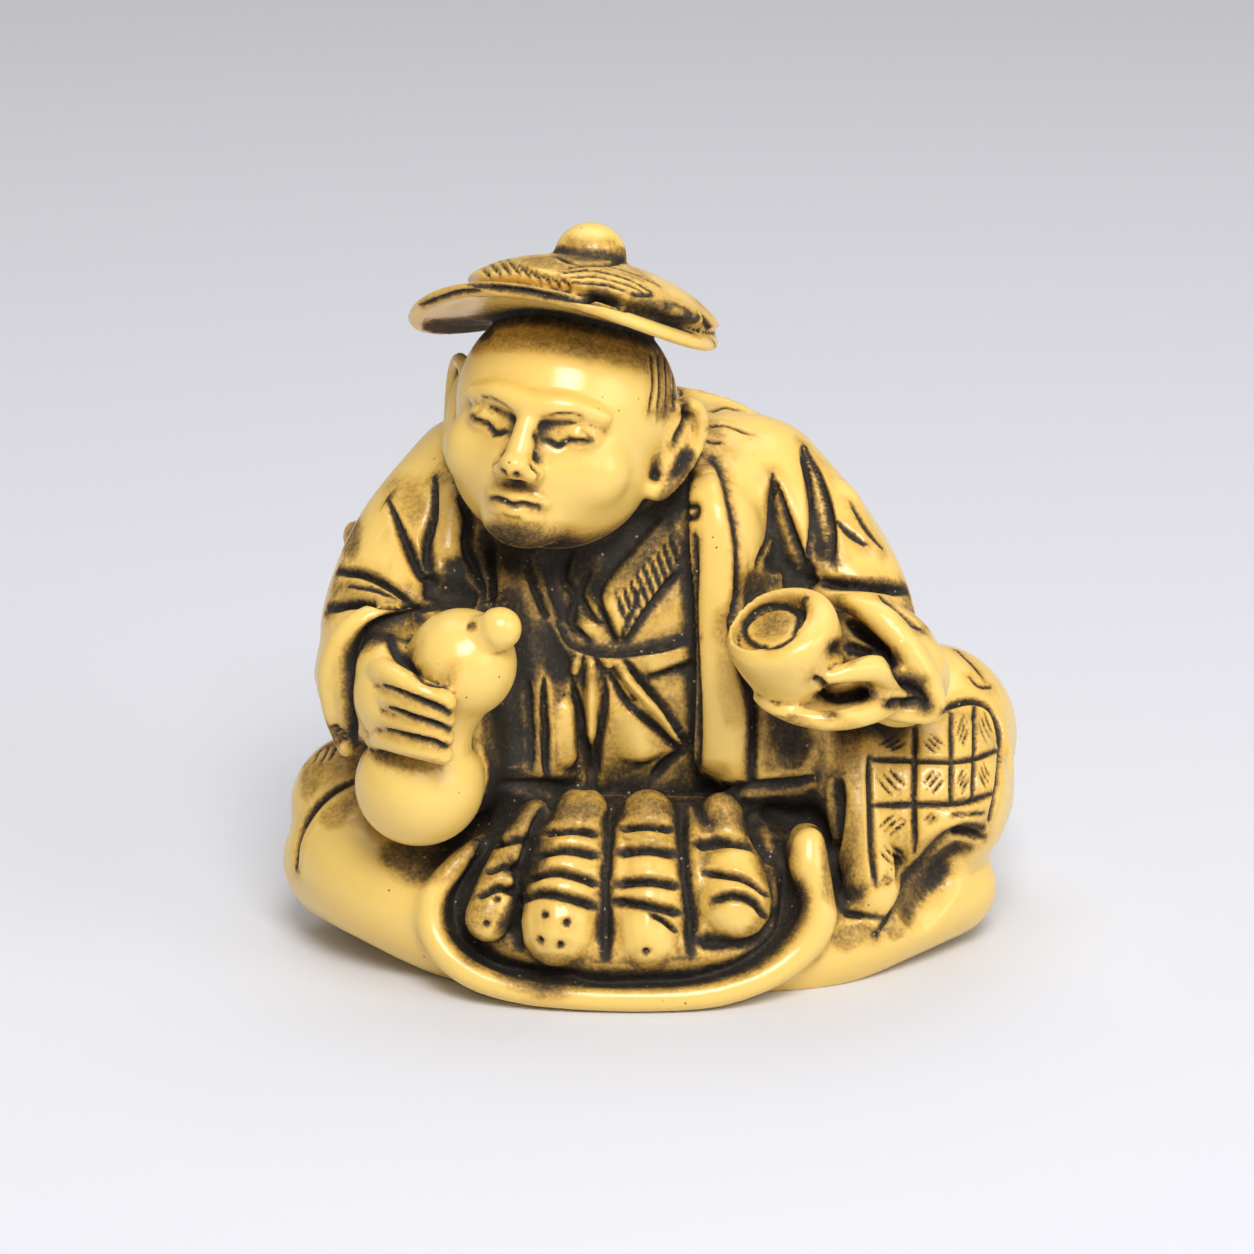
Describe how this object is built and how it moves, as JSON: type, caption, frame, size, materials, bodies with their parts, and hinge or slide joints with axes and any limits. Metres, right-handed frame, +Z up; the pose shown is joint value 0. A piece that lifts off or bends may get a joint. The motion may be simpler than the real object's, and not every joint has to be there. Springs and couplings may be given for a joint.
{
  "type": "resin man figurine",
  "caption": "Small cream resin figurine of a seated man in a loose robe and flat cap, holding a gourd and a cup behind a tray of shoots",
  "frame": {"origin": "middle of the bounding box in x and y, on the flat underside", "axes": "+Z up, the figure faces -Y, +X is to the right of someone facing it"},
  "size_m": [0.046, 0.0336, 0.0452],
  "materials": {
    "cream_resin": "polished cream resin with dark brown stain rubbed into the carving"
  },
  "bodies": {
    "root": {"man_figurine": "cream_resin"}
  },
  "joints": []
}
